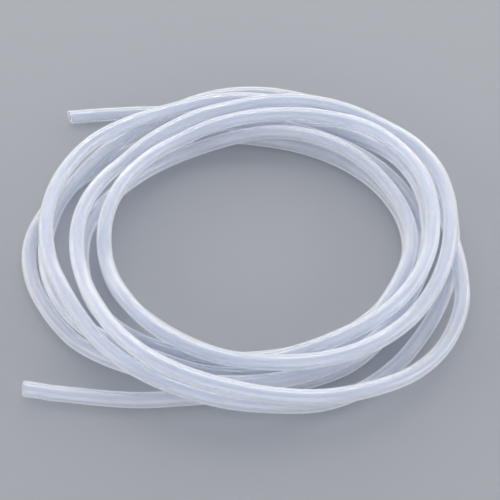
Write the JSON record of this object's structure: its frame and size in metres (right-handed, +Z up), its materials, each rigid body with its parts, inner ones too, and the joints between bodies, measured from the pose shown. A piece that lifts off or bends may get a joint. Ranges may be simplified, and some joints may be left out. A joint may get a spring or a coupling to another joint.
{
  "type": "silicone tubing coil",
  "caption": "Loose flat coil of clear milky silicone laboratory tubing, one length with two free cut ends.",
  "frame": {"origin": "middle of the coil's footprint, on the surface that it lies on", "axes": "+Z up through the coil, +Y away from the viewer, both cut ends on the -X side"},
  "size_m": [0.2816, 0.2838, 0.0354],
  "materials": {
    "silicone": "clear to milky translucent silicone rubber, smooth and glossy"
  },
  "bodies": {
    "root": {"tubing": "silicone"}
  },
  "joints": []
}
